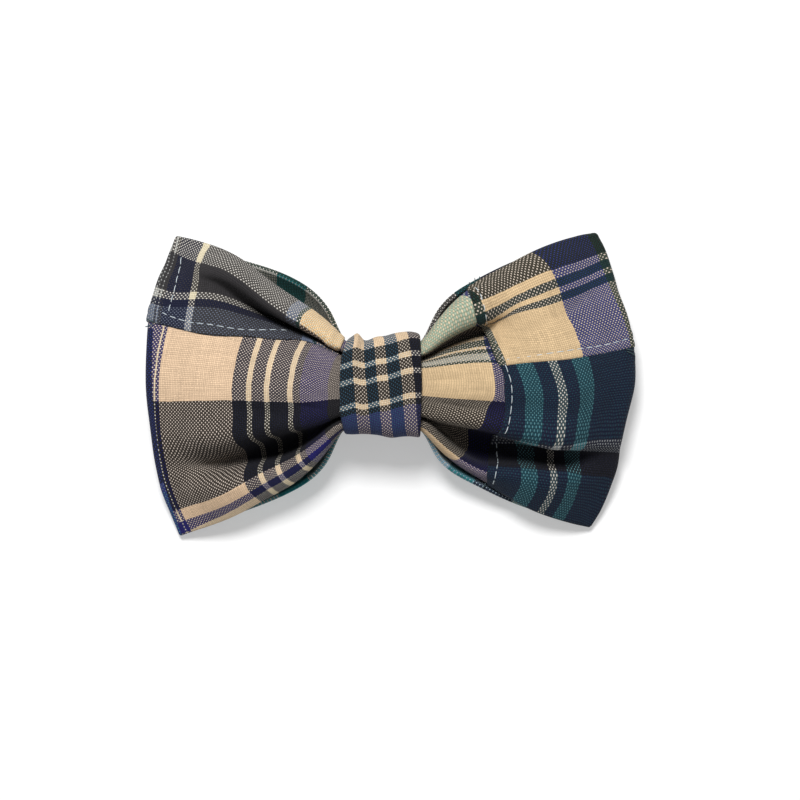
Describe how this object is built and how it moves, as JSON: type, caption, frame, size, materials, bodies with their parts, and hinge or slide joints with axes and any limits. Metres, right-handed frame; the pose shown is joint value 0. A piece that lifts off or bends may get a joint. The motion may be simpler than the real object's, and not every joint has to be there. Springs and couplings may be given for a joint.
{
  "type": "pet bow tie",
  "caption": "Bow tie for a pet's collar: a gathered loop of patchwork plaid cloth, a knot band round its waist and an elastic loop behind for the collar.",
  "frame": {"origin": "on the surface that the bow lies on, under the knot's centre, on the back face of the collar loop", "axes": "+X along the bow to its right wing, +Y to its top edge, +Z out of its front"},
  "size_m": [0.1175, 0.0731, 0.0231],
  "materials": {
    "patchwork_cotton": "matt plain-weave cotton, plaid patches in navy, teal, beige and white",
    "plaid_cotton": "matt plain-weave cotton, small plaid in navy, teal, black and beige",
    "elastic_tape": "matt ribbed elastic tape, black"
  },
  "bodies": {
    "root": {"bow_loop": "patchwork_cotton", "knot_band": "plaid_cotton", "collar_loop": "elastic_tape"}
  },
  "joints": []
}
